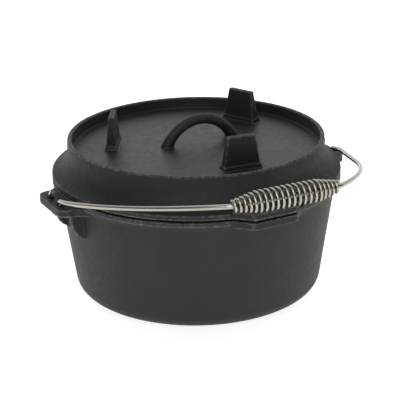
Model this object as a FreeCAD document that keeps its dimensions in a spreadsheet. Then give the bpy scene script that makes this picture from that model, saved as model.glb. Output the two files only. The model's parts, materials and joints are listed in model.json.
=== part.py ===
"""Cast iron dutch oven with a flanged lid, a wire bail and a coil grip.

Millimetres.  The origin is the centre of the flat base, +Z is up, X runs through
the two ears, and -Y is the front, over which the bail lies at rest.
"""
import FreeCAD, Part
import Sketcher
import math
import os

from FreeCAD import Placement, Rotation, Vector

SIZES = {
    # pot
    "base_radius": 128.0,           # outer wall, carried down to the base plane
    "wall_top_radius": 145.8,       # outer wall, carried up to the joint plane
    "pot_height": 122.5,            # the joint plane
    "base_corner": 15.0,
    "wall": 4.3,
    "base_thickness": 5.0,
    "cavity_corner": 11.0,
    "rim_radius": 150.0,
    "rim_band": 4.5,                # straight edge of the pot's rim
    "rim_blend": 5.0,               # height over which the rim runs out into the wall
    # ears
    "ear_reach": 167.0,
    "ear_half_width": 30.0,
    "ear_shoulder_x": 152.0,
    "ear_shoulder_flare": 1.5,
    "ear_root_x": 130.0,
    "ear_root_half_width": 47.0,
    "ear_top": 119.0,
    "ear_thickness": 8.0,
    "ear_corner": 10.0,
    "hole_x": 160.0,
    "hole_y": 10.8,
    "hole_radius": 4.8,
    "rib_inner_y": 16.6,
    "rib_thickness": 6.5,
    "rib_root_x": 134.0,
    "rib_foot_x": 138.5,
    "rib_foot": 82.0,
    "rib_reach": 152.4,
    "rib_belly": 98.0,              # where the rib's rounded foot ends
    "rib_belly_round": 16.0,
    # tabs at the front of the pot and the lid
    "tab_reach": 161.0,
    "tab_half_width": 24.8,
    "tab_neck_half_width": 27.4,
    "tab_neck": 156.0,
    "tab_root_half_width": 38.5,
    "tab_root": 144.6,
    "tab_inner": 139.5,
    "tab_root_round": 15.0,
    "tab_corner": 4.5,
    "pot_tab_thickness": 7.5,
    "lid_tab_thickness": 9.0,
    # lid
    "joint_gap": 0.3,
    "rim_relief": 1.6,              # the lid's rim is cut back underneath, so that only its
    "rim_relief_depth": 4.0,        # inner part bears on the pot
    "lid_edge": 6.5,                # straight edge of the lid's rim
    "skirt_round": 24.0,
    "collar_foot_radius": 133.6,
    "collar_foot": 148.5,
    "collar_radius": 132.7,
    "collar_top": 162.8,
    "collar_wall": 4.2,
    "floor_edge_radius": 127.2,
    "floor_edge": 151.0,
    "floor_rise": 3.0,
    "floor_thickness": 4.8,
    "under_radius": 129.0,
    "under_foot": 131.5,
    "lip_outer": 139.0,
    "lip_inner": 135.0,
    "lip_depth": 4.0,
    # legs on the lid
    "front_leg_azimuth": 0.0,       # round from the front of the lid
    "right_leg_azimuth": 120.0,
    "left_leg_azimuth": 243.6,
    "front_leg_circle": 91.0,
    "right_leg_circle": 91.0,
    "left_leg_circle": 87.0,
    "front_leg_twist": -7.0,        # the legs stand a little off the tangent
    "right_leg_twist": -7.0,
    "left_leg_twist": -5.1,
    "leg_shift": 1.5,               # and their circles a little off the centre, along X
    "leg_foot": 149.0,
    "leg_top": 186.0,
    "leg_foot_width": 40.0,
    "leg_top_width": 29.0,
    "leg_foot_depth": 11.0,
    "leg_top_depth": 5.6,
    "plinth_low": 149.0,
    "plinth_high": 156.5,
    "plinth_low_width": 43.0,
    "plinth_high_width": 39.8,
    "plinth_low_depth": 15.0,
    "plinth_high_depth": 12.0,
    # loop handle on the lid
    "loop_offset": 4.5,             # along the line between the ears
    "loop_crown": 177.6,            # top of the arch's centre line
    "loop_arch_radius": 42.0,
    "loop_half_angle": 68.0,
    "loop_radius": 5.7,
    "loop_axle": 40.0,              # length of the construction line the arch turns about
    # bail
    "wire_radius": 2.5,
    "pivot_height": 116.8,
    "hook_radius": 11.2,
    "hook_bend": 6.0,
    "hook_leave_angle": 2.0,        # above the pivot, where the wire leaves the hook
    "hook_tip_angle": 70.0,         # above the pivot, where the hook ends at the back
    "rest_angle": 10.7,
    "grip_distance": 191.2,         # from the pivot line to the middle of the grip
    "grip_shift": -5.9,             # the bend of the wire is a little uneven: the grip's
    "grip_tilt": -5.0,              # middle is off centre and the grip is not quite level
    "shoulder_half": 56.6,          # from the grip's middle to the corner of each shoulder
    "shoulder_bend": 8.0,
    "left_shoulder_angle": 40.9,
    "right_shoulder_angle": 29.0,
    "left_ankle_angle": 74.8,
    "right_ankle_angle": 68.0,
    "ankle_bend": 50.0,
    "ankle_distance": 20.0,
    # coil grip
    "coil_wire_radius": 1.35,
    "coil_end_radius": 4.65,
    "coil_middle_radius": 9.65,
    "coil_middle_pitch": 5.6,
    "coil_middle_turns": 11.0,
    "coil_end_pitch": 4.75,
    "coil_end_turns": 5.0,
    # softened edges of the castings
    "leg_round": 1.8,
    "over_rim": 5.0,                # how far the cavity's cut runs on above the rim
}

os.makedirs("parts", exist_ok=True)
doc = FreeCAD.newDocument("dutch_oven")
sheet = doc.addObject("Spreadsheet::Sheet", "sizes")
for row, (alias, value) in enumerate(SIZES.items(), 1):
    sheet.set(f"A{row}", alias)
    sheet.set(f"B{row}", str(value))
    sheet.setAlias(f"B{row}", alias)
doc.recompute()


# ---------------------------------------------------------------- helpers

def size(alias):
    """A driving dimension, read from the sheet."""
    return float(sheet.get(alias))


def new_body(label):
    body = doc.addObject("PartDesign::Body", label)
    body.Label = label
    return body


def origin_feature(body, role):
    """One of the body's own origin planes or axes."""
    return next(item for item in body.Origin.OriginFeatures if item.Role == role)


def new_sketch(body, name, plane, lift=None):
    """A sketch on an origin plane, lifted along the plane's normal by an expression."""
    sketch = body.newObject("Sketcher::SketchObject", name)
    sketch.AttachmentSupport = [(origin_feature(body, plane), "")]
    sketch.MapMode = "FlatFace"
    if lift:
        sketch.setExpression("AttachmentOffset.Base.z", lift)
    doc.recompute()
    return sketch


def pin_point(sketch, geometry, point, rules):
    """Holds a point of the sketch where a pair of expressions says."""
    for kind, rule, own_axis in (("DistanceX", rules[0], -2), ("DistanceY", rules[1], -1)):
        if rule == "0":
            sketch.addConstraint(Sketcher.Constraint("PointOnObject", geometry, point, own_axis))
            continue
        start = float(sketch.evalExpression(rule))
        index = sketch.addConstraint(Sketcher.Constraint(kind, -1, 1, geometry, point, start))
        sketch.setExpression(f"Constraints[{index}]", rule)


def add_arc(sketch, start, end, radius, bulge):
    """Adds an arc that bulges left of its chord (bulge 1) or right of it (-1).

    Returns the geometry index and the sketcher's names for its start and end points.
    """
    chord = end - start
    left = Vector(-chord.y, chord.x, 0).normalize()
    inset = math.sqrt(max(radius ** 2 - (chord.Length / 2) ** 2, 0))
    centre = (start + end) * 0.5 - left * bulge * inset
    angles = [math.atan2(point.y - centre.y, point.x - centre.x) for point in (start, end)]
    if bulge > 0:
        angles.reverse()
    circle = Part.Circle(centre, Vector(0, 0, 1), radius)
    index = sketch.addGeometry(Part.ArcOfCircle(circle, *angles))
    return (index, 2, 1) if bulge > 0 else (index, 1, 2)


def outline(sketch, corners, closed=True):
    """Draws an outline whose corners are pairs of expressions, which go on driving it.

    A corner with two more items starts an arc: its radius, as an expression, and its bulge.
    """
    points = [Vector(float(sketch.evalExpression(corner[0])),
                     float(sketch.evalExpression(corner[1])), 0) for corner in corners]
    count = len(corners)
    edges = []
    for index in range(count if closed else count - 1):
        start, end = points[index], points[(index + 1) % count]
        if len(corners[index]) == 2:
            edges.append((sketch.addGeometry(Part.LineSegment(start, end)), 1, 2))
            continue
        rule, bulge = corners[index][2:]
        edge = add_arc(sketch, start, end, float(sketch.evalExpression(rule)), bulge)
        edges.append(edge)
        held = sketch.addConstraint(Sketcher.Constraint("Radius", edge[0],
                                                        float(sketch.evalExpression(rule))))
        sketch.setExpression(f"Constraints[{held}]", rule)
    for this, following in zip(edges, edges[1:] + (edges[:1] if closed else [])):
        sketch.addConstraint(Sketcher.Constraint("Coincident", this[0], this[2],
                                                 following[0], following[1]))
    for edge, corner in zip(edges, corners):
        pin_point(sketch, edge[0], edge[1], corner)
    if not closed:
        pin_point(sketch, edges[-1][0], edges[-1][2], corners[-1])


def disc(sketch, x_rule, y_rule, radius_rule):
    """Draws a circle held by expressions."""
    centre = Vector(float(sketch.evalExpression(x_rule)), float(sketch.evalExpression(y_rule)), 0)
    radius = float(sketch.evalExpression(radius_rule))
    index = sketch.addGeometry(Part.Circle(centre, Vector(0, 0, 1), radius))
    pin_point(sketch, index, 3, (x_rule, y_rule))
    held = sketch.addConstraint(Sketcher.Constraint("Radius", index, radius))
    sketch.setExpression(f"Constraints[{held}]", radius_rule)


def turned(body, name, kind, corners):
    """A revolution or groove about Z of an outline in the XZ plane."""
    sketch = new_sketch(body, name + "_outline", "XZ_Plane")
    outline(sketch, corners)
    feature = body.newObject(kind, name)
    feature.Profile = sketch
    feature.ReferenceAxis = (sketch, ["V_Axis"])
    feature.Angle = 360
    doc.recompute()
    return feature


def padded(body, name, sketch, height):
    """A pad along the sketch's normal."""
    pad = body.newObject("PartDesign::Pad", name)
    pad.Profile = sketch
    pad.setExpression("Length", height)
    doc.recompute()
    return pad


def fillet(body, name, radius_rule, chosen):
    """Rounds every edge of the body's tip for which chosen(edge) holds."""
    base = body.Tip
    edges = [f"Edge{index}" for index, edge in enumerate(base.Shape.Edges, 1) if chosen(edge)]
    if not edges:
        raise RuntimeError(f"{name} found no edge")
    feature = body.newObject("PartDesign::Fillet", name)
    feature.Base = (base, edges)
    feature.setExpression("Radius", radius_rule)
    doc.recompute()
    return feature


def is_ring(edge, height, radius):
    """Whether an edge lies on the circle about Z with this height and radius."""
    if not isinstance(edge.Curve, Part.Circle):
        return False
    centre = edge.Curve.Center
    near = abs(centre.z - height) < 0.01 and math.hypot(centre.x, centre.y) < 0.01
    return near and abs(edge.Curve.Radius - radius) < 0.05


def is_upright(edge):
    """Whether an edge is a vertical line."""
    box = edge.BoundBox
    return box.XLength < 0.01 and box.YLength < 0.01 and box.ZLength > 1


def at_distance(place, alias):
    """Whether a place is as far from the origin, on either side, as a driving dimension."""
    return abs(abs(place) - size(alias)) < 0.1


def tab(body, name, lift, height):
    """The short tab at the front of a rim, flared into it with a concave arc on each side."""
    sketch = new_sketch(body, name + "_outline", "XY_Plane", lift=lift)
    half = [("sizes.tab_root_half_width", "-sizes.tab_inner"),
            ("sizes.tab_root_half_width", "-sizes.tab_root"),
            ("sizes.tab_neck_half_width", "-sizes.tab_neck"),
            ("sizes.tab_half_width", "-sizes.tab_reach")]
    corners = half + [("-" + x_rule, y_rule) for x_rule, y_rule in reversed(half)]
    for start in (1, 5):            # the root on the right and the neck on the left
        corners[start] += ("sizes.tab_root_round", 1)
    outline(sketch, corners)
    return padded(body, name, sketch, height)


# ---------------------------------------------------------------- pot

def make_pot():
    """One casting: tapered wall and flat base, rim, ears on ribs and a front tab."""
    body = new_body("pot")
    blend_foot = "(sizes.pot_height - sizes.rim_band - sizes.rim_blend)"
    draft = "(sizes.wall_top_radius - sizes.base_radius) / sizes.pot_height"
    turned(body, "pot_blank", "PartDesign::Revolution", [
        ("0", "0"),
        ("sizes.base_radius", "0"),
        (f"sizes.base_radius + {draft} * {blend_foot}", blend_foot),
        ("sizes.rim_radius", "sizes.pot_height - sizes.rim_band"),
        ("sizes.rim_radius", "sizes.pot_height"),
        ("0", "sizes.pot_height"),
    ])
    fillet(body, "base_corner", "sizes.base_corner",
           lambda edge: is_ring(edge, 0, size("base_radius")))

    ear_bottom = "sizes.ear_top - sizes.ear_thickness"
    shoulder = "(sizes.ear_half_width + sizes.ear_shoulder_flare)"
    for side, name in (("", "right"), ("-", "left")):
        sketch = new_sketch(body, f"{name}_ear_outline", "XY_Plane", lift=ear_bottom)
        front = [(f"{side}sizes.ear_root_x", "-sizes.ear_root_half_width"),
                 (f"{side}sizes.ear_shoulder_x", f"-{shoulder}"),
                 (f"{side}sizes.ear_reach", "-sizes.ear_half_width")]
        back = [(f"{side}sizes.ear_reach", "sizes.ear_half_width"),
                (f"{side}sizes.ear_shoulder_x", shoulder),
                (f"{side}sizes.ear_root_x", "sizes.ear_root_half_width")]
        outline(sketch, front + back)
        padded(body, f"{name}_ear", sketch, "sizes.ear_thickness")
        for lift, place in (("sizes.rib_inner_y", "front"),
                            ("-sizes.rib_inner_y - sizes.rib_thickness", "back")):
            sketch = new_sketch(body, f"{name}_{place}_rib_outline", "XZ_Plane", lift=lift)
            outline(sketch, [(f"{side}sizes.rib_root_x", "sizes.rib_foot"),
                             (f"{side}sizes.rib_foot_x", "sizes.rib_foot",
                              "sizes.rib_belly_round", 1 if side else -1),
                             (f"{side}sizes.rib_reach", "sizes.rib_belly"),
                             (f"{side}sizes.rib_reach", ear_bottom),
                             (f"{side}sizes.rib_root_x", ear_bottom)])
            padded(body, f"{name}_{place}_rib", sketch, "sizes.rib_thickness")
    tab(body, "pot_tab", "sizes.pot_height - sizes.pot_tab_thickness",
        "sizes.pot_tab_thickness")

    holes = new_sketch(body, "ear_holes_outline", "XY_Plane", lift="sizes.pot_height")
    for side in ("", "-"):
        for end in ("", "-"):
            disc(holes, f"{side}sizes.hole_x", f"{end}sizes.hole_y", "sizes.hole_radius")
    pocket = body.newObject("PartDesign::Pocket", "ear_holes")
    pocket.Profile = holes
    pocket.setExpression("Length", "sizes.ear_thickness * 2")
    doc.recompute()

    fillet(body, "ear_corners", "sizes.ear_corner",
           lambda edge: is_upright(edge) and at_distance(edge.BoundBox.XMin, "ear_reach"))
    fillet(body, "pot_tab_corners", "sizes.tab_corner",
           lambda edge: is_upright(edge) and at_distance(edge.BoundBox.YMin, "tab_reach"))

    top_inner = "(sizes.wall_top_radius - sizes.wall)"
    turned(body, "cavity", "PartDesign::Groove", [
        ("0", "sizes.base_thickness"),
        ("sizes.base_radius - sizes.wall", "sizes.base_thickness"),
        (top_inner, "sizes.pot_height"),
        (top_inner, "sizes.pot_height + sizes.over_rim"),
        ("0", "sizes.pot_height + sizes.over_rim"),
    ])
    fillet(body, "cavity_corner", "sizes.cavity_corner",
           lambda edge: is_ring(edge, size("base_thickness"), size("base_radius") - size("wall")))
    return body


# ---------------------------------------------------------------- lid

def lid_leg(body, side):
    """A tapered leg on a low plinth."""
    azimuth, circle = f"sizes.{side}_leg_azimuth", f"sizes.{side}_leg_circle"
    for name, ends in (("leg", ("foot", "top")), ("plinth", ("low", "high"))):
        sections = []
        for end in ends:
            sketch = new_sketch(body, f"{side}_{name}_{end}", "XY_Plane",
                                lift=f"sizes.{name}_{end}")
            sketch.AttachmentOffset = Placement(Vector(), Rotation(Vector(0, 0, 1), 1.0))
            for rule, value in (("Rotation.Angle", f"{azimuth} + sizes.{side}_leg_twist"),
                                ("Base.x", f"sizes.leg_shift + {circle} * sin({azimuth})"),
                                ("Base.y", f"-{circle} * cos({azimuth})"),
                                ("Base.z", f"sizes.{name}_{end}")):
                sketch.setExpression("AttachmentOffset." + rule, value)
            across, deep = (f"sizes.{name}_{end}_{way} / 2" for way in ("width", "depth"))
            outline(sketch, [(f"-{across}", f"-{deep}"), (across, f"-{deep}"),
                             (across, deep), (f"-{across}", deep)])
            sections.append(sketch)
        loft = body.newObject("PartDesign::AdditiveLoft", f"{side}_{name}")
        loft.Profile = sections[0]
        loft.Sections = [sections[1]]
        loft.Ruled = True
        doc.recompute()


def make_lid():
    """One casting: rim, flared skirt, collar, domed floor, three legs, loop handle and tab."""
    body = new_body("lid")
    joint = "sizes.pot_height + sizes.joint_gap"
    turned(body, "lid_shell", "PartDesign::Revolution", [
        ("sizes.lip_outer", joint),
        ("sizes.rim_radius - sizes.rim_relief_depth", joint),
        ("sizes.rim_radius - sizes.rim_relief_depth", f"{joint} + sizes.rim_relief"),
        ("sizes.rim_radius", f"{joint} + sizes.rim_relief"),
        ("sizes.rim_radius", f"{joint} + sizes.lid_edge", "sizes.skirt_round", 1),
        ("sizes.collar_foot_radius", "sizes.collar_foot"),
        ("sizes.collar_radius", "sizes.collar_top"),
        ("sizes.collar_radius - sizes.collar_wall", "sizes.collar_top"),
        ("sizes.floor_edge_radius", "sizes.floor_edge",
         "(sizes.floor_edge_radius ^ 2 + sizes.floor_rise ^ 2) / (2 * sizes.floor_rise)", -1),
        ("0", "sizes.floor_edge + sizes.floor_rise"),
        ("0", "sizes.floor_edge - sizes.floor_thickness + sizes.floor_rise / 2"),
        ("sizes.under_radius", "sizes.floor_edge - sizes.floor_thickness"),
        ("sizes.lip_inner", "sizes.under_foot"),
        ("sizes.lip_inner", f"{joint} - sizes.lip_depth"),
        ("sizes.lip_outer", f"{joint} - sizes.lip_depth"),
    ])
    tab(body, "lid_tab", f"{joint} + sizes.rim_relief",
        "sizes.lid_tab_thickness - sizes.rim_relief")
    fillet(body, "lid_tab_corners", "sizes.tab_corner",
           lambda edge: is_upright(edge) and at_distance(edge.BoundBox.YMin, "tab_reach"))

    for side in ("front", "right", "left"):
        lid_leg(body, side)

    arch = new_sketch(body, "loop_section", "YZ_Plane", lift="sizes.loop_offset")
    disc(arch, "0", "sizes.loop_crown", "sizes.loop_radius")
    hub = "sizes.loop_crown - sizes.loop_arch_radius"
    hub_height = float(arch.evalExpression(hub))
    ends = [Vector(side * size("loop_axle") / 2, hub_height, 0) for side in (-1, 1)]
    axle = arch.addGeometry(Part.LineSegment(*ends), True)
    arch.addConstraint(Sketcher.Constraint("Horizontal", axle))
    pin_point(arch, axle, 1, ("-sizes.loop_axle / 2", hub))
    loop = body.newObject("PartDesign::Revolution", "loop_handle")
    loop.Profile = arch
    loop.ReferenceAxis = (arch, ["Axis0"])
    loop.Midplane = True
    loop.setExpression("Angle", "sizes.loop_half_angle * 2")
    doc.recompute()

    fillet(body, "leg_edges", "sizes.leg_round",
           lambda edge: edge.BoundBox.ZMax > size("leg_top") - 0.1)
    return body


# ---------------------------------------------------------------- bail

def bail_frame():
    """Height at which the bail's plane crosses the pivot, and where the hook's bend meets it.

    Both hooks are rings about the pivot line, so they turn freely in the ear holes.
    Points are (y, z) across the pivot line.
    """
    rest, leave = math.radians(size("rest_angle")), math.radians(size("hook_leave_angle"))
    ring, bend = size("hook_radius"), size("hook_bend")
    centre_y = -(ring + bend) * math.cos(leave)
    centre_z = size("pivot_height") + (ring + bend) * math.sin(leave)
    foot = (centre_y + bend * math.sin(rest), centre_z + bend * math.cos(rest))
    crossing = foot[1] + foot[0] * math.tan(rest)
    return crossing, foot, (centre_y, centre_z)


def in_bail_plane(across, out):
    """A point of the bail's plane: across along X, and out from the pivot line."""
    rest = math.radians(size("rest_angle"))
    crossing = bail_frame()[0]
    return Vector(across, -out * math.cos(rest), crossing + out * math.sin(rest))


def bend_points(start, heading, end_heading, radius):
    """The middle and the end of a bend in the bail's plane, between two headings."""
    points = []
    for now in ((heading + end_heading) / 2, end_heading):
        points.append((start[0] + radius * (math.sin(now) - math.sin(heading)),
                       start[1] - radius * (math.cos(heading) - math.cos(now))))
    return points


def grip_end(side, reach):
    """A point of the grip's line, reach from its middle; side is +1 at the right ear."""
    tilt = math.radians(size("grip_tilt"))
    across = size("grip_shift") + side * reach * math.cos(tilt)
    return across, size("grip_distance") - side * reach * math.sin(tilt)


def bail_half(side):
    """One half of the wire's centre line, from the grip to the hook's tip.

    Headings are angles below the line of the ears, seen from above and going outwards.
    The arm is an arc and a straight run whose radius and length close the gap exactly.
    """
    name = "right" if side > 0 else "left"
    start_heading = side * math.radians(size("grip_tilt"))
    turn = math.radians(size(f"{name}_shoulder_angle"))
    ankle = math.radians(size(f"{name}_ankle_angle"))
    setback = size("shoulder_bend") * math.tan((turn - start_heading) / 2)
    across, out = grip_end(side, size("shoulder_half") - setback)
    start = (side * across, out)
    shoulder = bend_points(start, start_heading, turn, size("shoulder_bend"))

    hook_x, ankle_bend = size("hole_x"), size("ankle_bend")
    gap_x = hook_x - shoulder[1][0] - ankle_bend * (1 - math.sin(ankle))
    gap_out = shoulder[1][1] - size("ankle_distance") - ankle_bend * math.cos(ankle)
    arc_x, arc_out = math.sin(ankle) - math.sin(turn), math.cos(turn) - math.cos(ankle)
    run_x, run_out = math.cos(ankle), math.sin(ankle)
    determinant = arc_x * run_out - run_x * arc_out
    arm_radius = (gap_x * run_out - run_x * gap_out) / determinant
    run = (arc_x * gap_out - arc_out * gap_x) / determinant
    print(f"{name} arm: radius {arm_radius:.1f}, straight run {run:.1f}")
    if run < 1:
        raise RuntimeError(f"the {name} arm overshoots its hook")

    arm = bend_points(shoulder[1], turn, ankle, arm_radius)
    run_end = (arm[1][0] + run * run_x, arm[1][1] - run * run_out)
    foot = bend_points(run_end, ankle, math.pi / 2, ankle_bend)

    def placed(point):
        return in_bail_plane(side * point[0], point[1])

    def flat_arc(first, stops):
        return Part.Arc(placed(first), placed(stops[0]), placed(stops[1])).toShape()

    _, hook_top, bend_centre = bail_frame()
    rest, leave = math.radians(size("rest_angle")), math.radians(size("hook_leave_angle"))
    bend_aim = (math.pi / 2 - rest - leave) / 2

    def ring_point(angle):
        """A point of the hook's ring; 0 is at the back and 180 degrees at the front."""
        return Vector(side * hook_x, size("hook_radius") * math.cos(angle),
                      size("pivot_height") + size("hook_radius") * math.sin(angle))

    top = Vector(side * hook_x, *hook_top)
    bend_middle = Vector(side * hook_x, bend_centre[0] + size("hook_bend") * math.cos(bend_aim),
                         bend_centre[1] + size("hook_bend") * math.sin(bend_aim))
    first, last = math.pi - leave, 2 * math.pi + math.radians(size("hook_tip_angle"))
    return [
        flat_arc(start, shoulder),
        flat_arc(shoulder[1], arm),
        Part.LineSegment(placed(arm[1]), placed(run_end)).toShape(),
        flat_arc(run_end, foot),
        Part.LineSegment(placed(foot[1]), top).toShape(),
        Part.Arc(top, bend_middle, ring_point(first)).toShape(),
        Part.Arc(ring_point(first), ring_point((first + last) / 2), ring_point(last)).toShape(),
    ]


def make_bail_wire():
    """One bent wire with the same hook at each end."""
    left, right = bail_half(-1), bail_half(1)
    grip = Part.LineSegment(*(half[0].Vertexes[0].Point for half in (left, right))).toShape()
    line = doc.addObject("Part::Feature", "bail_line")
    line.Shape = Part.Wire(Part.__sortEdges__(left + [grip] + right))
    section = doc.addObject("Part::Circle", "bail_section")
    section.setExpression("Radius", "sizes.wire_radius")
    section.Placement = grip_placement(Rotation(Vector(0, 0, 1), Vector(1, 0, 0)))
    wire = doc.addObject("Part::Sweep", "bail_wire")
    wire.Label = "bail_wire"
    wire.Sections = [section]
    wire.Spine = (line, [f"Edge{index + 1}" for index in range(len(line.Shape.Edges))])
    wire.Solid = True
    doc.recompute()
    return wire


def grip_placement(own=Rotation()):
    """The middle of the grip, turned so that local X runs along it."""
    ends = [in_bail_plane(*grip_end(side, size("shoulder_half"))) for side in (-1, 1)]
    return Placement((ends[0] + ends[1]) * 0.5, Rotation(Vector(1, 0, 0), ends[1] - ends[0]) * own)


# ---------------------------------------------------------------- coil grip

def make_coil_grip():
    """A close coil of thin wire: a straight middle and a tapered run at each end."""
    body = new_body("coil_grip")
    half = "sizes.coil_middle_pitch * sizes.coil_middle_turns / 2"
    taper = "(sizes.coil_end_radius - sizes.coil_middle_radius) / sizes.coil_end_turns"
    stretches = (("middle", f"-({half})", "middle", False),
                 ("right_taper", half, "end", False),
                 ("left_taper", f"-({half})", "end", True))
    for name, start, stretch, backwards in stretches:
        sketch = new_sketch(body, f"{name}_section", "XZ_Plane")
        disc(sketch, start, "sizes.coil_middle_radius", "sizes.coil_wire_radius")
        helix = body.newObject("PartDesign::AdditiveHelix", name)
        helix.Profile = sketch
        helix.ReferenceAxis = (sketch, ["H_Axis"])
        helix.Mode = "height-turns-growth"
        helix.Reversed = backwards
        turns = f"sizes.coil_{stretch}_turns"
        helix.setExpression("Turns", turns)
        helix.setExpression("Height", f"sizes.coil_{stretch}_pitch * {turns}")
        if stretch == "end":
            helix.setExpression("Growth", taper)
        doc.recompute()
    body.Placement = grip_placement()
    return body


# ---------------------------------------------------------------- build, check, write

SUBPARTS = [make_pot(), make_lid(), make_bail_wire(), make_coil_grip()]
doc.recompute()

broken = [item.Label for item in doc.Objects if {"Invalid", "Error"} & set(item.State)]
if broken:
    raise RuntimeError(f"failed features: {broken}")
for subpart in SUBPARTS:
    shape = subpart.Shape
    if shape.isNull() or not shape.isValid() or len(shape.Solids) != 1:
        raise RuntimeError(f"{subpart.Label} is not one valid solid")
    shape.exportStep(f"parts/{subpart.Label}.step")
    box = shape.BoundBox
    print(f"{subpart.Label}: {shape.Volume / 1000:.1f} cm3, x {box.XMin:.1f}..{box.XMax:.1f}, "
          f"y {box.YMin:.1f}..{box.YMax:.1f}, z {box.ZMin:.1f}..{box.ZMax:.1f}")
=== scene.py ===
"""Looks of the cast iron dutch oven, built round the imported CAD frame.

Metres, +Z up, +Y to the back. The two castings are finer meshes that stand for their CAD
nodes; the wire and its coil are the CAD nodes themselves, with drawn steel on them.
"""

import json
import math

import bmesh
import bpy
import numpy
from mathutils import Matrix, Vector


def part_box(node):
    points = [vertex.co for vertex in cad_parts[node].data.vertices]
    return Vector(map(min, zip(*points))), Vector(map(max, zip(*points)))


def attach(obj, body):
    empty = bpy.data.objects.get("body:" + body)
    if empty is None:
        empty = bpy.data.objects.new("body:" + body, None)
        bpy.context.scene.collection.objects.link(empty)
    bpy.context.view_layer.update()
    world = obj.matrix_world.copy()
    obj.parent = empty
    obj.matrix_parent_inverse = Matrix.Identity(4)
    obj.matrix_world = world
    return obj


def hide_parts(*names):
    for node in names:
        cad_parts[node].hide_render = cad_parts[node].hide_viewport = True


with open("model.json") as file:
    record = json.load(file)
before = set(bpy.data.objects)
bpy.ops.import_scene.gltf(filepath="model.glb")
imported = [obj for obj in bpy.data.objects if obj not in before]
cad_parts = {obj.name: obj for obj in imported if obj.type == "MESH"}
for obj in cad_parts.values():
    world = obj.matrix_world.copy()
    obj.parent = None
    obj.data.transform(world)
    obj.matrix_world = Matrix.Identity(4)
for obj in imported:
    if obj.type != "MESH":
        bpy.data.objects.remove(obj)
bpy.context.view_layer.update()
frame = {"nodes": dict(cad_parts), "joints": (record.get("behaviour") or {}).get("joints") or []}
scene = bpy.context.scene
pot_low, pot_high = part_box("pot")
lid_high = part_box("lid")[1]
mm = 0.001

# ------------------------------------------------------------------ the castings' sizes
# The outermost places come from the frame's boxes. A name that ends in _round is the
# radius of a rounded corner, and a name in _z is a height above the base.

# pot
joint_z = 122.5 * mm            # top of the pot's rim
base_radius = 128 * mm          # the outer wall, carried down to the base plane
wall_top_radius = 145.8 * mm    # and carried up to the joint
wall = 4.3 * mm
base_thickness = 5 * mm
base_round = 15 * mm
cavity_round = 11 * mm
rim_radius = pot_high.y         # the rim is round, and has nothing on it at the back
rim_band = 4.5 * mm             # the rim's straight edge
rim_blend = 5 * mm              # height over which the rim runs out into the wall
blend_round = 6 * mm
brim_round = 1 * mm

# ears, the bail holes in them and the ribs under them
ear_reach = pot_high.x
ear_half_width = 30 * mm        # at the reach
ear_round = 10 * mm
ear_shoulder = 152 * mm
ear_flare = 1.5 * mm            # how much wider each side is at the shoulder
ear_root = 130 * mm
ear_root_half_width = 47 * mm
ear_z = 111 * mm                # underside of the ears
ear_thickness = 8 * mm
hole_x = 160 * mm
hole_y = 10.8 * mm
hole_radius = 4.8 * mm
rib_inner_y = 16.6 * mm
rib_thickness = 6.5 * mm
rib_root = 134 * mm
rib_toe = 140.5 * mm
rib_knee = 147.2 * mm
rib_knee_round = 12 * mm
rib_reach = 152.4 * mm
rib_belly_round = 10 * mm
rib_foot_z = 82 * mm
rib_knee_z = 86.5 * mm
rib_belly_z = 98 * mm
rib_overlap = 1 * mm            # how far a rib runs up into its ear

# tabs at the front of the pot and the lid
tab_reach = -pot_low.y
tab_half_width = 24.8 * mm
tab_round = 4.5 * mm
tab_neck = 156 * mm
tab_neck_half_width = 27.4 * mm
tab_neck_round = 6 * mm
tab_flare = 152.2 * mm
tab_flare_half_width = 31 * mm
tab_flare_round = 12 * mm
tab_root = 144.6 * mm
tab_root_half_width = 38.5 * mm
tab_inner = 139.5 * mm
pot_tab_thickness = 7.5 * mm
lid_tab_thickness = 9 * mm      # with the relief under it

# lid
lid_base = joint_z + 0.3 * mm   # a hair's gap above the pot's rim
rim_relief = 1.6 * mm           # the lid's rim is cut back this far underneath,
relief_radius = 146 * mm        # outside this radius
lid_edge = 6.5 * mm             # the rim's straight edge
skirt_hollow = 24 * mm          # radius of the skirt's hollow curve
collar_foot = 133.6 * mm
collar_foot_z = 148.5 * mm
collar_radius = 132.7 * mm
collar_wall = 4.2 * mm
collar_z = 162.8 * mm
floor_z = 151 * mm              # edge of the lid's floor
floor_rise = 3 * mm
floor_radius = 127.2 * mm
floor_thickness = 4.8 * mm
under_radius = 129 * mm
under_z = 131.5 * mm
under_round = 3 * mm
lip_inner = 135 * mm
lip_outer = 139 * mm
lip_depth = 4 * mm
crisp_round = 0.4 * mm          # how far the castings' edges are rounded
eased_round = 0.8 * mm
rubbed_round = 1.2 * mm

# legs on the lid; a size is (width, depth)
legs = (                        # degrees round from the front, circle, degrees of twist
    (0, 91 * mm, -7),
    (120, 91 * mm, -7),
    (243.6, 87 * mm, -5.1))
leg_shift = 1.5 * mm            # the circles stand a little off the centre, along X
leg_foot_z = 149 * mm
leg_foot_size = (40 * mm, 11 * mm)
leg_top_z = lid_high.z
leg_top_size = (29 * mm, 5.6 * mm)
plinth_foot_size = (43 * mm, 15 * mm)
plinth_top_z = 156.5 * mm
plinth_top_size = (39.8 * mm, 12 * mm)

# loop handle on the lid
loop_offset = 4.5 * mm
loop_crown_z = 177.6 * mm       # top of the arch's centre line
loop_arch = 42 * mm
loop_half_angle = 68
loop_bar = 5.3 * mm             # radius of the bar at the crown
loop_swell = 1.1 * mm           # how much thicker its radius is at the feet
loop_seam = 0.35 * mm           # height of the mould's seam along the outside
loop_seam_narrowness = 9

# how fine the castings' skins are, and how sand leaves them
pot_cell = 1.0 * mm
lid_cell = 0.9 * mm
softening_rounds = 2
lump_size = 30 * mm
lump_depth = 0.2 * mm

rectangle = ((-1, -1), (1, -1), (1, 1), (-1, 1))    # its corners' signs, in order


# ------------------------------------------------------------------ outlines


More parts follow.
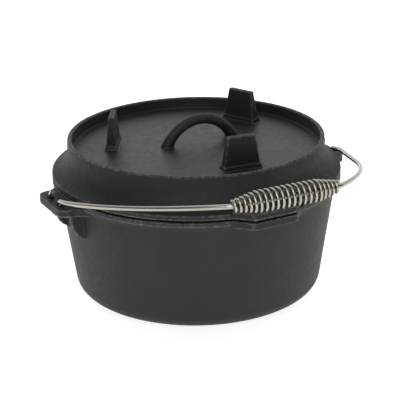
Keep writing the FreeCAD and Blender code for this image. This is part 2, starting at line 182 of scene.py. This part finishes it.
def arc(centre, radius, start, end, steps):
    """Points of an arc about centre, from start to end degrees."""
    for step in range(steps + 1):
        angle = math.radians(start + (end - start) * step / steps)
        yield (centre[0] + radius * math.cos(angle), centre[1] + radius * math.sin(angle))


def arc_between(start, end, radius, steps):
    """Points of the hollow arc of that radius that runs from start up and in to end."""
    a, b = Vector(start), Vector(end)
    chord = b - a
    left = Vector((-chord.y, chord.x)).normalized()
    centre = (a + b) / 2 - left * math.sqrt(radius ** 2 - chord.length_squared / 4)
    first, last = (math.degrees(math.atan2(p.y - centre.y, p.x - centre.x)) for p in (a, b))
    return arc(centre, radius, first, last, steps)


def rounded(corners, steps=6):
    """An outline from corners of (x, y) or (x, y, radius), with the latter rounded."""
    points = []
    for index, corner in enumerate(corners):
        here = Vector(corner[:2])
        if len(corner) == 2:
            points.append(here)
            continue
        before = (Vector(corners[index - 1][:2]) - here).normalized()
        after = (Vector(corners[(index + 1) % len(corners)][:2]) - here).normalized()
        half = before.angle(after) / 2
        reach = corner[2] / math.tan(half)
        middle = here + (before + after).normalized() * corner[2] / math.sin(half)
        first, last = here + before * reach - middle, here + after * reach - middle
        turn = first.angle_signed(last)
        for step in range(steps + 1):
            angle = -turn * step / steps
            spoke = Vector((first.x * math.cos(angle) - first.y * math.sin(angle),
                            first.x * math.sin(angle) + first.y * math.cos(angle)))
            points.append(middle + spoke)
    return points


# ------------------------------------------------------------------ closed shells


def turned(shell, profile, segments=480):
    """Adds a solid turned about Z from a closed outline of (radius, height)."""
    rings = []
    for radius, height in profile:
        if radius < 1e-6:
            rings.append([shell.verts.new((0, 0, height))] * segments)
            continue
        angles = (2 * math.pi * index / segments for index in range(segments))
        rings.append([shell.verts.new((radius * math.cos(a), radius * math.sin(a), height))
                      for a in angles])
    for low, high in zip(rings, rings[1:] + rings[:1]):
        for index in range(segments):
            other = (index + 1) % segments
            corners = [low[index], low[other], high[other], high[index]]
            corners = list(dict.fromkeys(corners))
            if len(corners) > 2:
                shell.faces.new(corners)


def prism(shell, points, place, depth):
    """Adds a straight solid: points (x, y) laid out by place, then carried depth along its Z."""
    low = [shell.verts.new(place @ Vector((x, y, 0))) for x, y in points]
    high = [shell.verts.new(place @ Vector((x, y, depth))) for x, y in points]
    caps = [shell.faces.new(low), shell.faces.new(high)]
    for index in range(len(points)):
        other = (index + 1) % len(points)
        shell.faces.new([low[index], low[other], high[other], high[index]])
    bmesh.ops.triangulate(shell, faces=caps)


def frustum(shell, place, low, high):
    """Adds a tapered block between two rectangles of (width, depth, height)."""
    rings = []
    for width, depth, height in (low, high):
        rings.append([shell.verts.new(place @ Vector((width / 2 * a, depth / 2 * b, height)))
                      for a, b in rectangle])
    shell.faces.new(rings[0])
    shell.faces.new(rings[1])
    for index in range(4):
        other = (index + 1) % 4
        shell.faces.new([rings[0][index], rings[0][other], rings[1][other], rings[1][index]])


def flat_at(height):
    """Lays an outline of (x, y) level at a height, to be carried up."""
    return Matrix.Translation((0, 0, height))


def upright_at(start):
    """Stands an outline of (x, z) upright at y = start, to be carried along +Y."""
    return Matrix(((1, 0, 0, 0), (0, 0, 1, start), (0, 1, 0, 0), (0, 0, 0, 1)))


# ------------------------------------------------------------------ castings


def baked(piece):
    """Turns the piece's modifiers into plain mesh."""
    graph = bpy.context.evaluated_depsgraph_get()
    mesh = bpy.data.meshes.new_from_object(piece.evaluated_get(graph))
    piece.modifiers.clear()
    piece.data = mesh
    mesh.shade_smooth()


def mark_proud(piece, rounds=7):
    """Stores how far each point stands out from its smoothed surroundings, in metres.

    Edges stand out, and they are where the iron is knocked and rubbed.
    """
    mesh = piece.data
    count = len(mesh.vertices)
    places = numpy.empty(count * 3)
    outward = numpy.empty(count * 3)
    mesh.vertices.foreach_get("co", places)
    mesh.vertices.foreach_get("normal", outward)
    places, outward = places.reshape(-1, 3), outward.reshape(-1, 3)
    ends = numpy.empty(len(mesh.edges) * 2, dtype=numpy.int32)
    mesh.edges.foreach_get("vertices", ends)
    one, other = ends.reshape(-1, 2).T
    neighbours = numpy.maximum(numpy.bincount(ends, minlength=count), 1)
    smoothed = places.copy()
    for _ in range(rounds):
        smoothed = numpy.stack([
            (numpy.bincount(one, smoothed[other, axis], count)
             + numpy.bincount(other, smoothed[one, axis], count)) / neighbours
            for axis in range(3)], 1)
    proud = ((places - smoothed) * outward).sum(1)
    layer = mesh.attributes.new("proud", "FLOAT", "POINT")
    layer.data.foreach_set("value", proud.astype(numpy.float32))


def casting(name, shell, cell):
    """One even, fine skin over overlapping shells, softened and uneven as sand leaves it.

    The skin is pulled back onto the exact shells before its edges are softened.
    """
    bmesh.ops.recalc_face_normals(shell, faces=shell.faces)
    exact = bpy.data.objects.new(name + "_shells", bpy.data.meshes.new(name + "_shells"))
    shell.to_mesh(exact.data)
    shell.free()
    piece = bpy.data.objects.new(name, exact.data.copy())
    for item in (exact, piece):
        scene.collection.objects.link(item)
    grid = piece.modifiers.new("grid", "REMESH")
    grid.mode = "VOXEL"
    grid.voxel_size = cell
    snap = piece.modifiers.new("snap", "SHRINKWRAP")
    snap.target = exact
    snap.wrap_method = "NEAREST_SURFACEPOINT"
    soft = piece.modifiers.new("soft_edges", "SMOOTH")
    soft.factor = 0.5
    soft.iterations = softening_rounds
    lumps = bpy.data.textures.new(name + "_lumps", "CLOUDS")
    lumps.noise_scale = lump_size
    lumps.noise_depth = 2
    uneven = piece.modifiers.new("uneven", "DISPLACE")
    uneven.texture = lumps
    uneven.texture_coords = "LOCAL"
    uneven.strength = lump_depth
    baked(piece)
    mark_proud(piece)
    bpy.data.objects.remove(exact)
    return piece


def tab_outline():
    """The front tab's outline, flared into the rim by a concave curve on each side."""
    right = [
        (tab_root_half_width, -tab_inner),
        (tab_root_half_width, -tab_root),
        (tab_flare_half_width, -tab_flare, tab_flare_round),
        (tab_neck_half_width, -tab_neck, tab_neck_round),
        (tab_half_width, -tab_reach, tab_round)]
    left = [(-corner[0], *corner[1:]) for corner in reversed(right)]
    return rounded(right + left)


# ------------------------------------------------------------------ pot


def ear_halves():
    """The right ear's outline as two plates that meet along the line of its bail holes."""
    shoulder_half_width = ear_half_width + ear_flare
    along_side = (ear_reach - hole_x) / (ear_reach - ear_shoulder)
    half_width = ear_half_width + ear_flare * along_side
    outer = rounded([
        (hole_x, -half_width),
        (ear_reach, -ear_half_width, ear_round),
        (ear_reach, ear_half_width, ear_round),
        (hole_x, half_width)])
    inner = [
        (hole_x, -half_width),
        (ear_shoulder, -shoulder_half_width),
        (ear_root, -ear_root_half_width),
        (ear_root, ear_root_half_width),
        (ear_shoulder, shoulder_half_width),
        (hole_x, half_width)]
    for half, bulge in ((outer, 1), (inner, -1)):
        notches = []
        for centre in (hole_y, -hole_y):
            notches += arc((hole_x, centre), hole_radius, 90, 90 - 180 * bulge, 16)
        yield [tuple(point) for point in half] + notches


def rib_outline():
    """A gusset under the ear, in (x, z): straight outside, with a rounded foot."""
    top = ear_z + rib_overlap
    return rounded([
        (rib_root, rib_foot_z),
        (rib_toe, rib_foot_z),
        (rib_knee, rib_knee_z, rib_knee_round),
        (rib_reach, rib_belly_z, rib_belly_round),
        (rib_reach, top),
        (rib_root, top)])


def wall_radius(height):
    """The pot's outer wall at a height: it leans out evenly from the base."""
    return base_radius + (wall_top_radius - base_radius) * height / joint_z


def make_pot():
    """The pot: tapered wall on a flat base, rim, two ears on ribs and the front tab."""
    shell = bmesh.new()
    blend_foot = joint_z - rim_band - rim_blend
    turned(shell, rounded([
        (0, 0),
        (base_radius, 0, base_round),
        (wall_radius(blend_foot), blend_foot, blend_round),
        (rim_radius, joint_z - rim_band, eased_round),
        (rim_radius, joint_z, crisp_round),
        (wall_radius(joint_z) - wall, joint_z, brim_round),
        (wall_radius(0) - wall, base_thickness, cavity_round),
        (0, base_thickness)], 10))
    for side in (Matrix.Identity(4), Matrix.Rotation(math.pi, 4, "Z")):
        for half in ear_halves():
            prism(shell, half, side @ flat_at(ear_z), ear_thickness)
        for start in (-rib_inner_y - rib_thickness, rib_inner_y):
            prism(shell, rib_outline(), side @ upright_at(start), rib_thickness)
    prism(shell, tab_outline(), flat_at(joint_z - pot_tab_thickness), pot_tab_thickness)
    return casting("pot_casting", shell, pot_cell)


# ------------------------------------------------------------------ lid


def lid_profile():
    """The lid's section, from its bearing ring out round the rim, in and back underneath."""
    dome = (floor_radius ** 2 + floor_rise ** 2) / (2 * floor_rise)
    dome_z = floor_z + floor_rise - dome
    floor = [(radius, dome_z + math.sqrt(dome ** 2 - radius ** 2))
             for radius in (floor_radius * (1 - step / 12) for step in range(13))]
    skirt = list(arc_between((rim_radius, lid_base + lid_edge), (collar_foot, collar_foot_z),
                             skirt_hollow, 14))
    rim = [
        (lip_outer, lid_base),
        (relief_radius, lid_base),
        (relief_radius, lid_base + rim_relief),
        (rim_radius, lid_base + rim_relief, crisp_round)]
    collar = [
        (collar_radius, collar_z, eased_round),
        (collar_radius - collar_wall, collar_z, rubbed_round)]
    underside = [
        (0, floor_z - floor_thickness + floor_rise / 2),
        (under_radius, floor_z - floor_thickness, under_round),
        (lip_inner, under_z, under_round),
        (lip_inner, lid_base - lip_depth, eased_round),
        (lip_outer, lid_base - lip_depth, eased_round)]
    return rounded(rim + skirt + collar + floor + underside)


def leg_place(azimuth, circle, twist):
    """Where a leg stands: on its circle, turned a little off the tangent (in degrees)."""
    return (Matrix.Translation((leg_shift, 0, 0))
            @ Matrix.Rotation(math.radians(azimuth), 4, "Z")
            @ Matrix.Translation((0, -circle, 0)) @ Matrix.Rotation(math.radians(twist), 4, "Z"))


def loop_handle(shell):
    """Adds the arched handle: a round bar that thickens a little towards its feet."""
    centre = Vector((loop_offset, 0, loop_crown_z - loop_arch))
    along, around = 120, 32
    rings = []
    for step in range(along + 1):
        share = step / along * 2 - 1
        lean = math.radians(loop_half_angle) * share
        out = Vector((math.sin(lean), 0, math.cos(lean)))
        bar = loop_bar + loop_swell * share ** 4
        ring = []
        for index in range(around):
            turn = 2 * math.pi * index / around
            reach = bar + loop_seam * math.exp(-(math.sin(turn / 2) * loop_seam_narrowness) ** 2)
            ring.append(shell.verts.new(centre + out * (loop_arch + reach * math.cos(turn))
                                        + Vector((0, reach * math.sin(turn), 0))))
        rings.append(ring)
    shell.faces.new(rings[0])
    shell.faces.new(rings[-1])
    for low, high in zip(rings, rings[1:]):
        for index in range(around):
            other = (index + 1) % around
            shell.faces.new([low[index], low[other], high[other], high[index]])


def make_lid():
    """The lid: skirt, collar and domed floor, three legs on plinths, loop handle and tab."""
    shell = bmesh.new()
    turned(shell, lid_profile())
    for leg in legs:
        place = leg_place(*leg)
        frustum(shell, place, (*leg_foot_size, leg_foot_z), (*leg_top_size, leg_top_z))
        frustum(shell, place, (*plinth_foot_size, leg_foot_z), (*plinth_top_size, plinth_top_z))
    loop_handle(shell)
    prism(shell, tab_outline(), flat_at(lid_base + rim_relief), lid_tab_thickness - rim_relief)
    return casting("lid_casting", shell, lid_cell)


pot, lid = make_pot(), make_lid()
for piece, node in ((pot, "pot"), (lid, "lid")):
    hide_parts(node)
    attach(piece, node)


# ------------------------------------------------------------------ node helpers


class Finish:
    """A material's node tree, with short ways to add the nodes used here."""

    def __init__(self, name):
        self.material = bpy.data.materials.new(name)
        self.material.use_nodes = True
        self.tree = self.material.node_tree
        self.shader = self.tree.nodes["Principled BSDF"]
        self.place = self.tree.nodes.new("ShaderNodeTexCoord").outputs["Object"]

    def link(self, value, socket):
        """Puts a number, a colour or another node's output on a socket."""
        if isinstance(value, bpy.types.NodeSocket):
            self.tree.links.new(value, socket)
        else:
            socket.default_value = value

    def noise(self, size, detail=4.0, rough=0.55):
        """Cloudy noise, 0 to 1, with features about size metres across."""
        node = self.tree.nodes.new("ShaderNodeTexNoise")
        self.link(self.place, node.inputs["Vector"])
        node.inputs["Scale"].default_value = 1 / size
        node.inputs["Detail"].default_value = detail
        node.inputs["Roughness"].default_value = rough
        return node.outputs[0]

    def cells(self, size):
        """Distance to the nearest of many scattered points, size metres apart."""
        node = self.tree.nodes.new("ShaderNodeTexVoronoi")
        self.link(self.place, node.inputs["Vector"])
        node.inputs["Scale"].default_value = 1 / size
        return node.outputs["Distance"]

    def spread(self, value, low, high, to_low=0.0, to_high=1.0):
        """Maps low..high onto to_low..to_high, held at both ends."""
        node = self.tree.nodes.new("ShaderNodeMapRange")
        for socket, number in zip(node.inputs, (value, low, high, to_low, to_high)):
            self.link(number, socket)
        return node.outputs[0]

    def maths(self, operation, *values):
        """One sum on numbers or outputs, by the name of Blender's operation."""
        node = self.tree.nodes.new("ShaderNodeMath")
        node.operation = operation
        for socket, number in zip(node.inputs, values):
            self.link(number, socket)
        return node.outputs[0]

    def blend(self, share, first, second):
        """Mixes two colours by share."""
        node = self.tree.nodes.new("ShaderNodeMix")
        node.data_type = "RGBA"
        for socket, number in zip((node.inputs[0], *node.inputs[6:8]), (share, first, second)):
            self.link(number, socket)
        return node.outputs[2]

    def stored(self, name):
        """A number kept on the mesh's points."""
        node = self.tree.nodes.new("ShaderNodeAttribute")
        node.attribute_name = name
        return node.outputs["Fac"]

    def bump(self, height, depth, below=None):
        """A normal roughened by a height of 0 to 1 that stands for depth metres."""
        node = self.tree.nodes.new("ShaderNodeBump")
        node.inputs["Distance"].default_value = depth
        self.link(height, node.inputs["Height"])
        if below is not None:
            self.link(below, node.inputs["Normal"])
        return node.outputs["Normal"]

    def vector(self, operation, one, other, output):
        """One sum on two vectors, and the named output of it."""
        node = self.tree.nodes.new("ShaderNodeVectorMath")
        node.operation = operation
        self.link(one, node.inputs[0])
        self.link(other, node.inputs[1])
        return node.outputs[output]

    def about_line(self, middle, direction):
        """Distance along a line from its middle, either way, and distance from the line."""
        away = self.vector("SUBTRACT", self.place, middle, "Vector")
        along = self.vector("DOT_PRODUCT", away, direction, "Value")
        across = self.vector("CROSS_PRODUCT", away, direction, "Vector")
        off = self.vector("DISTANCE", across, (0, 0, 0), "Value")
        return self.maths("ABSOLUTE", along, 0.0), off

    def around(self):
        """Distance from the pot's upright centre line, and height."""
        split = self.tree.nodes.new("ShaderNodeSeparateXYZ")
        self.link(self.place, split.inputs[0])
        across, along = (self.maths("POWER", split.outputs[i], 2.0) for i in (0, 1))
        return self.maths("SQRT", self.maths("ADD", across, along)), split.outputs[2]


def grey(value, tint=0.0):
    """A grey, pushed towards blue by a positive tint and towards brown by a negative one."""
    return (value * (1 - tint), value, value * (1 + tint), 1.0)


def warm(value, tint):
    """A metal's grey, yellowed by tint."""
    return (value, value * (1 - tint * 0.3), value * (1 - tint), 1.0)


def paint(piece, finish):
    """Makes the finish the piece's only material."""
    piece.data.materials.clear()
    piece.data.materials.append(finish.material)


# ------------------------------------------------------------------ seasoned iron

fleck_share = 0.35
wear_share = 0.7
wear_colour = grey(0.2, -0.03)


def lid_skin(iron, tone, dark, light, colour, rough, mottle):
    """The lid's own look, as changed colour, roughness and mottle.

    From its collar outwards the skin is darker and browner, and on its floor it is
    smoother and tinted a little blue: a painted reflection of the sky.
    """
    reach, height = iron.around()
    skirt = iron.spread(reach, 131 * mm, 132.5 * mm, 0.0, 0.8)
    brown = iron.blend(tone, grey(dark * 0.35, -0.06), grey(light * 0.4, -0.06))
    colour = iron.blend(skirt, colour, brown)
    inside = iron.spread(reach, floor_radius, floor_radius - 4 * mm)
    level = iron.spread(height, floor_z + 5.5 * mm, floor_z + 4 * mm)
    floor = iron.maths("MULTIPLY", inside, level)
    # Painted reflection of the blue sky on the lid's floor.
    sky_reflection_blue = iron.blend(tone, grey(light * 0.62, 0.14), grey(light * 0.95, 0.18))
    colour = iron.blend(floor, colour, sky_reflection_blue)
    rough = iron.maths("MULTIPLY_ADD", floor, -0.22, rough)
    mottle = iron.maths("MULTIPLY", mottle, iron.maths("MULTIPLY_ADD", floor, -0.75, 1.0))
    return colour, rough, mottle


def seasoned_iron(name, dark, light, is_lid=False):
    """Matte black seasoned cast iron: mottled, grainy, finely pitted and worn at its edges."""
    iron = Finish(name)
    patches = iron.noise(45 * mm, detail=3.0)
    mottle = iron.noise(6 * mm, detail=5.0, rough=0.65)
    grain = iron.noise(1.3 * mm, detail=3.0, rough=0.7)
    pits = iron.spread(iron.cells(4.5 * mm), 0.05, 0.22)
    tone = iron.maths("MULTIPLY_ADD", patches, 0.5, iron.maths("MULTIPLY", mottle, 0.5))
    colour = iron.blend(iron.spread(tone, 0.36, 0.64), grey(dark, -0.02), grey(light, 0.02))
    flecks = iron.spread(iron.noise(2.2 * mm, detail=2.0, rough=0.6), 0.68, 0.78)
    colour = iron.blend(iron.maths("MULTIPLY", flecks, fleck_share), colour, grey(light * 2.6))
    rough = iron.spread(mottle, 0.3, 0.7, 0.52, 0.68)
    if is_lid:
        colour, rough, mottle = lid_skin(iron, tone, dark, light, colour, rough, mottle)
    proud = iron.spread(iron.stored("proud"), 0.14 * mm, 0.4 * mm)
    chips = iron.spread(iron.noise(4 * mm, detail=4.0, rough=0.7), 0.42, 0.62)
    worn = iron.maths("MULTIPLY", proud, iron.maths("MULTIPLY_ADD", chips, 0.8, 0.2))
    colour = iron.blend(iron.maths("MULTIPLY", worn, wear_share), colour, wear_colour)
    iron.shader.inputs["Specular IOR Level"].default_value = 0.36
    iron.link(colour, iron.shader.inputs["Base Color"])
    iron.link(rough, iron.shader.inputs["Roughness"])
    skin = iron.bump(grain, 0.22 * mm)
    skin = iron.bump(pits, 0.12 * mm, skin)
    iron.link(iron.bump(mottle, 0.5 * mm, skin), iron.shader.inputs["Normal"])
    return iron


paint(pot, seasoned_iron("pot_iron", 0.018, 0.026))
paint(lid, seasoned_iron("lid_iron", 0.019, 0.026, is_lid=True))


# ------------------------------------------------------------------ steel

grip_spin = next(joint for joint in frame["joints"] if joint["name"] == "grip_spin")
grip_middle, grip_line = grip_spin["pos_m"], grip_spin["axis"]
coil_middle_reach = 30.8 * mm   # the turns are of one size this far each way from the middle
coil_reach = 54.5 * mm          # and narrow evenly from there to the ends
coil_middle_radius = 9.65 * mm
coil_end_radius = 4.65 * mm
# Painted shade, with some grime: the dark colour inside the coil and on the bail within it.
shade_and_grime_colour = warm(0.07, 0.25)


def shade_and_grime_inside_turns(steel):
    """How dark the coil is painted, only on its turns' inner side: painted shade, with some
    grime.
    """
    along, off = steel.about_line(grip_middle, grip_line)
    turn_radius = steel.spread(along, coil_middle_reach, coil_reach,
                               coil_middle_radius, coil_end_radius)
    inward = steel.maths("SUBTRACT", turn_radius, off)
    return steel.spread(inward, -0.3 * mm, 0.8 * mm, 0.0, 0.85)


def shade_and_grime_on_core(steel):
    """How dark the bail is painted, only where it runs through the coil: painted shade, with
    some grime.
    """
    along, off = steel.about_line(grip_middle, grip_line)
    near = steel.spread(off, 4 * mm, 3.5 * mm)
    return steel.maths("MULTIPLY", near, steel.spread(along, 54 * mm, 46 * mm, 0.0, 0.75))


def drawn_steel(name, shade, tint, rough, shaded_and_grimy):
    """Bright drawn wire: near mirror, with fine scuffs and a faint warm film.

    Inside the coil the steel is painted dark: painted shade, with a dull film of grime.
    """
    steel = Finish(name)
    film = steel.noise(20 * mm, detail=3.0)
    scuffs = steel.noise(1.6 * mm, detail=4.0, rough=0.7)
    colour = steel.blend(film, warm(shade * 0.85, tint * 1.3), warm(shade * 1.1, tint))
    # Painted shade inside the coil, with some grime.
    colour = steel.blend(shaded_and_grimy(steel), colour, shade_and_grime_colour)
    steel.link(colour, steel.shader.inputs["Base Color"])
    steel.shader.inputs["Metallic"].default_value = 1.0
    steel.link(steel.spread(scuffs, 0.3, 0.7, rough * 0.75, rough * 1.4),
               steel.shader.inputs["Roughness"])
    steel.link(steel.bump(scuffs, 0.04 * mm), steel.shader.inputs["Normal"])
    return steel


# The last column gives each steel its painted shade, with some grime.
for node, slot, shade, tint, rough, shaded_and_grimy in (
        ("bail_wire", "bail_steel", 0.45, 0.14, 0.14, shade_and_grime_on_core),
        ("coil_grip", "coil_steel", 0.46, 0.19, 0.17, shade_and_grime_inside_turns)):
    wire = frame["nodes"][node]
    paint(wire, drawn_steel(slot, shade, tint, rough, shaded_and_grimy))


# ------------------------------------------------------------------ studio

view_from = (-0.6251, -1.1884, 0.60307)
view_heading = math.radians(27.88)      # clockwise from +Y, seen from above
view_pitch = math.radians(20.96)        # downwards
view_roll = math.radians(-0.97)
focal_length = 122.7                    # both in the camera's own millimetres
sensor_width = 36.0
lamp_target = Vector((0, 0, 100 * mm))
table_reach = 6.0
table_drop = 0.3 * mm                   # just clear of the pot's base
front_light, back_light, window_light = 0.21, 0.9, 2.0


def studio_floor():
    """A white table that glows a little, so that only a faint shadow lies on it."""
    mesh = bpy.data.meshes.new("floor")
    mesh.from_pydata([(table_reach * a, table_reach * b, 0) for a, b in rectangle],
                     [], [(0, 1, 2, 3)])
    floor = bpy.data.objects.new("floor", mesh)
    floor.location.z = -table_drop
    scene.collection.objects.link(floor)
    white = Finish("floor_white")
    white.shader.inputs["Base Color"].default_value = (0.85, 0.85, 0.85, 1)
    white.shader.inputs["Roughness"].default_value = 0.9
    white.shader.inputs["Specular IOR Level"].default_value = 0.1
    white.shader.inputs["Emission Color"].default_value = (1, 1, 1, 1)
    white.shader.inputs["Emission Strength"].default_value = 0.85
    paint(floor, white)


def studio_light(name, toward, distance, size, power, colour):
    """A square soft box, placed in a direction from the pot's middle and aimed at it."""
    lamp = bpy.data.lights.new(name, "AREA")
    lamp.size = size
    lamp.energy = power
    lamp.color = colour
    holder = bpy.data.objects.new(name, lamp)
    holder.location = lamp_target + Vector(toward).normalized() * distance
    aim = lamp_target - holder.location
    holder.rotation_euler = aim.to_track_quat("-Z", "Y").to_euler()
    scene.collection.objects.link(holder)


def studio_surround():
    """Bright behind the pot, dim on the viewer's side; plain white to look at.

    A window above the viewer shines only in reflections.
    """
    world = bpy.data.worlds.new("studio")
    scene.world = world
    world.use_nodes = True
    nodes, links = world.node_tree.nodes, world.node_tree.links
    nodes.clear()
    place = nodes.new("ShaderNodeTexCoord").outputs["Generated"]

    def facing(direction):
        """How nearly a place on the surround lies in that direction, up to 1."""
        node = nodes.new("ShaderNodeVectorMath")
        node.operation = "DOT_PRODUCT"
        links.new(place, node.inputs[0])
        node.inputs[1].default_value = direction
        return node.outputs["Value"]

    def ramp(value, low, high, to_low, to_high):
        """Maps low..high smoothly onto to_low..to_high."""
        node = nodes.new("ShaderNodeMapRange")
        node.interpolation_type = "SMOOTHSTEP"
        links.new(value, node.inputs[0])
        for socket, number in zip(node.inputs[1:5], (low, high, to_low, to_high)):
            socket.default_value = number
        return node.outputs[0]

    def background(colour):
        """An even glow of that colour."""
        node = nodes.new("ShaderNodeBackground")
        node.inputs["Color"].default_value = (*colour, 1)
        return node

    path = nodes.new("ShaderNodeLightPath")
    ahead = Vector((math.sin(view_heading), math.cos(view_heading), 0))
    behind_pot = (ahead + Vector((0, 0, 0.35))).normalized()
    over_viewer = (Vector((0, 0, 0.9)) - ahead).normalized()
    light = nodes.new("ShaderNodeMath")
    light.operation = "MULTIPLY_ADD"
    links.new(ramp(facing(over_viewer), 0.79, 0.93, 0.0, window_light), light.inputs[0])
    links.new(path.outputs["Is Glossy Ray"], light.inputs[1])
    links.new(ramp(facing(behind_pot), 0.1, 0.8, front_light, back_light), light.inputs[2])
    glow = background((0.95, 0.98, 1.0))
    links.new(light.outputs[0], glow.inputs["Strength"])
    seen = background((1, 1, 1))
    choice = nodes.new("ShaderNodeMixShader")
    links.new(path.outputs["Is Camera Ray"], choice.inputs[0])
    links.new(glow.outputs[0], choice.inputs[1])
    links.new(seen.outputs[0], choice.inputs[2])
    links.new(choice.outputs[0], nodes.new("ShaderNodeOutputWorld").inputs["Surface"])


def set_camera():
    """The viewer looks down on the front left of the pot through a long lens."""
    lens = bpy.data.cameras.new("camera")
    lens.lens = focal_length
    lens.sensor_width = sensor_width
    camera = bpy.data.objects.new("camera", lens)
    forward = Vector((math.sin(view_heading) * math.cos(view_pitch),
                      math.cos(view_heading) * math.cos(view_pitch), -math.sin(view_pitch)))
    level = Vector((math.cos(view_heading), -math.sin(view_heading), 0))
    upright = level.cross(forward)
    right = math.cos(view_roll) * level + math.sin(view_roll) * upright
    up = math.cos(view_roll) * upright - math.sin(view_roll) * level
    camera.matrix_world = (Matrix.Translation(view_from)
                           @ Matrix((right, up, -forward)).transposed().to_4x4())
    scene.collection.objects.link(camera)
    scene.camera = camera
    scene.view_settings.view_transform = "Standard"


studio_floor()
studio_surround()
studio_light("top_box", toward=(0.2, 0.5, 1.0), distance=1.6, size=1.0, power=1.0,
             colour=(0.97, 0.99, 1.0))
set_camera()
